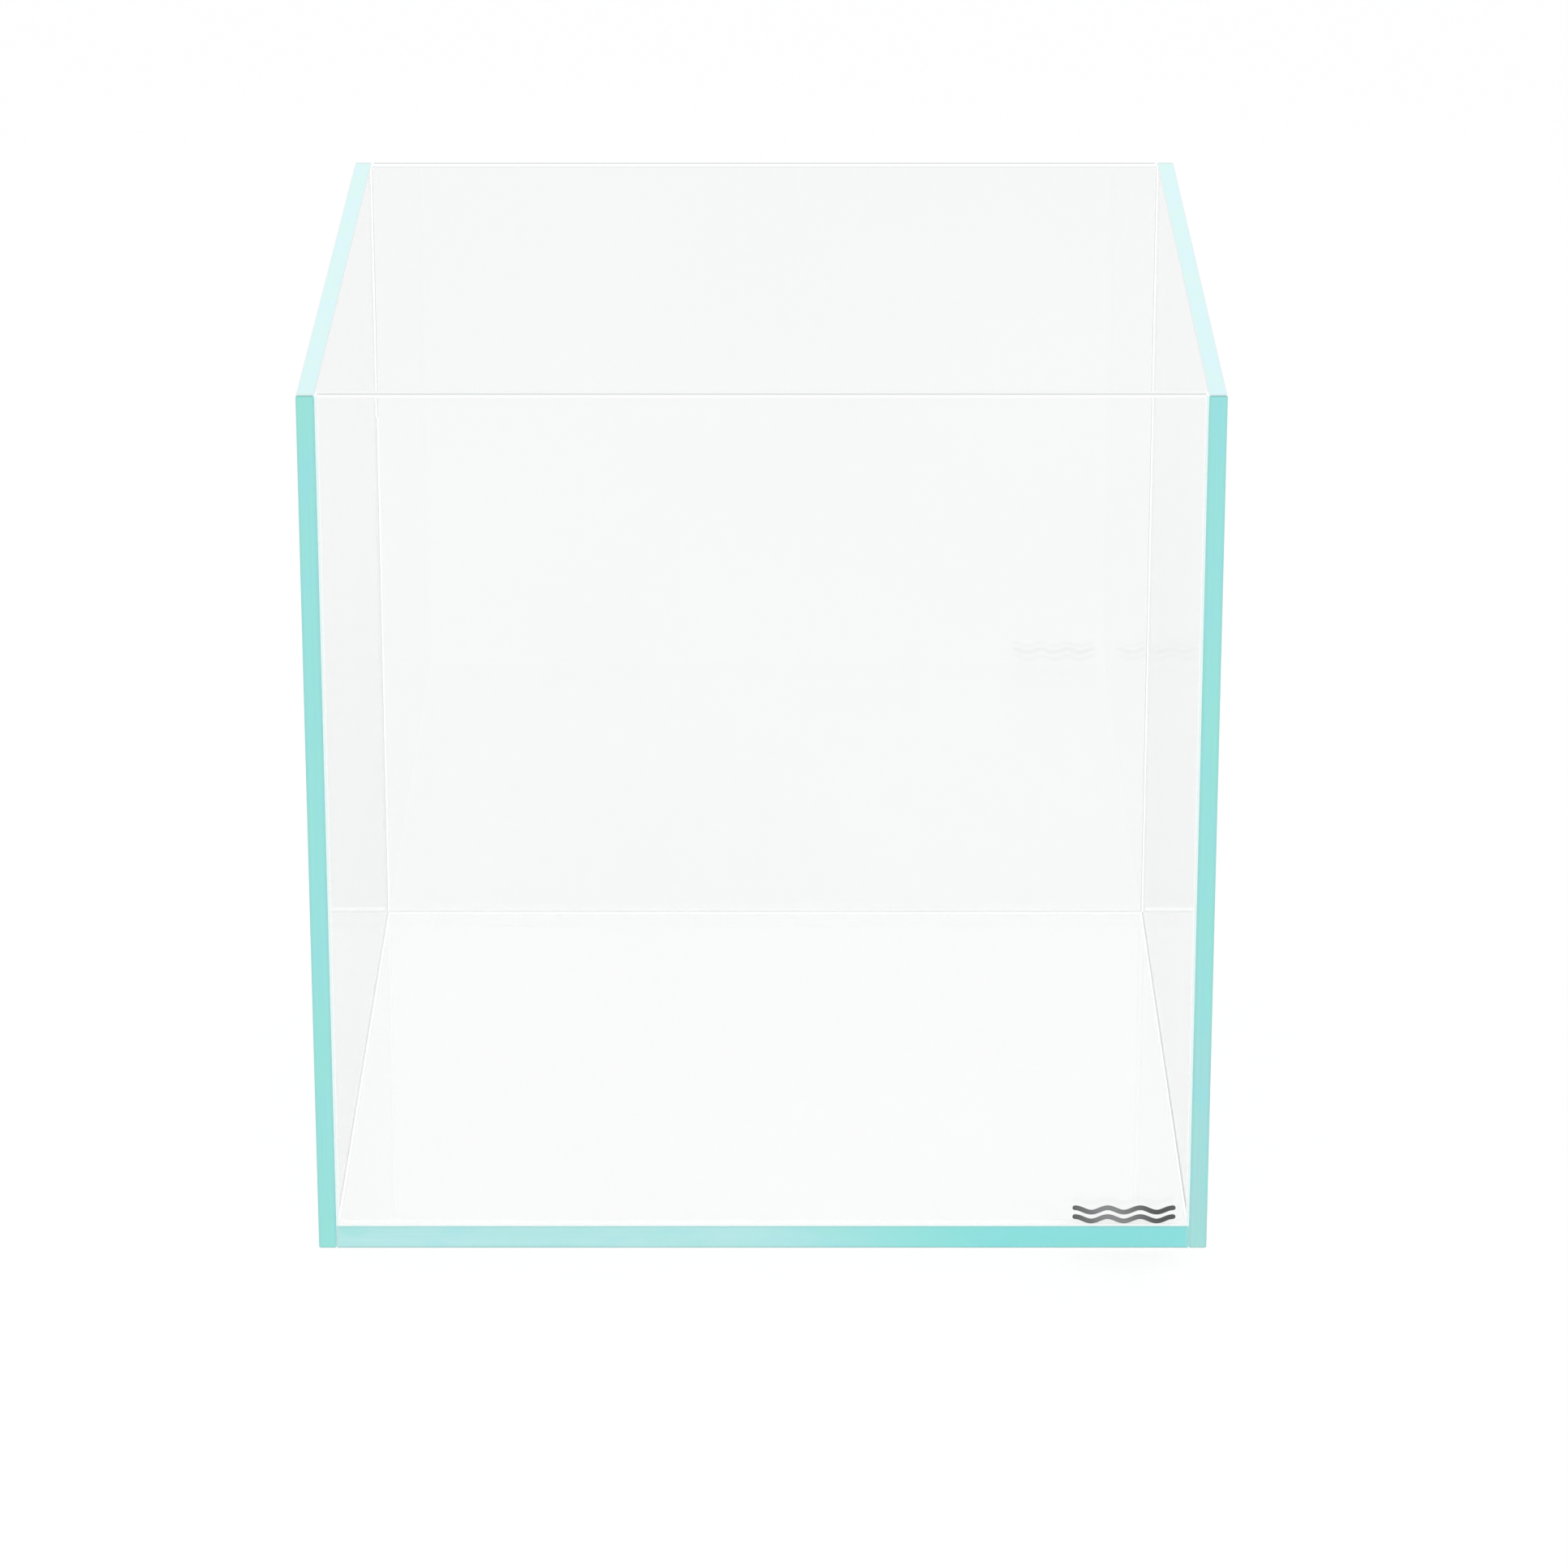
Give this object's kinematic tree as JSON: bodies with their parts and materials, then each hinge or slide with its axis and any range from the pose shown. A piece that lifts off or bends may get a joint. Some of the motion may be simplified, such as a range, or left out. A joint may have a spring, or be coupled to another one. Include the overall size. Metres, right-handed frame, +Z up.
{
  "type": "rimless glass aquarium tank",
  "caption": "Open rimless cube aquarium of clear glass: base between full-height side panes, front and back panes on the base, thin clear silicone joints.",
  "frame": {"origin": "centre of the footprint, on the underside that rests on the stand", "axes": "+Z up, +X to the right seen from the front, +Y to the back: the front pane faces -Y"},
  "size_m": [0.3, 0.3001, 0.3],
  "materials": {
    "glass_panes": "clear low-iron float glass, polished edges that read pale teal",
    "silicone_bond": "clear cured silicone, thin bond line",
    "silicone_seal": "clear cured silicone, smooth tooled bead",
    "mark_foil": "dark grey metallic print"
  },
  "bodies": {
    "root": {"base_pane": "glass_panes", "front_pane": "glass_panes", "back_pane": "glass_panes", "left_pane": "glass_panes", "right_pane": "glass_panes", "bond_base_left": "silicone_bond", "bond_base_right": "silicone_bond", "bond_base_front": "silicone_bond", "bond_base_back": "silicone_bond", "bond_front_left": "silicone_bond", "bond_front_right": "silicone_bond", "bond_back_left": "silicone_bond", "bond_back_right": "silicone_bond", "seal_base_left": "silicone_seal", "seal_base_right": "silicone_seal", "seal_base_front": "silicone_seal", "seal_base_back": "silicone_seal", "seal_front_left": "silicone_seal", "seal_front_right": "silicone_seal", "seal_back_left": "silicone_seal", "seal_back_right": "silicone_seal", "wave_mark": "mark_foil"}
  },
  "joints": []
}
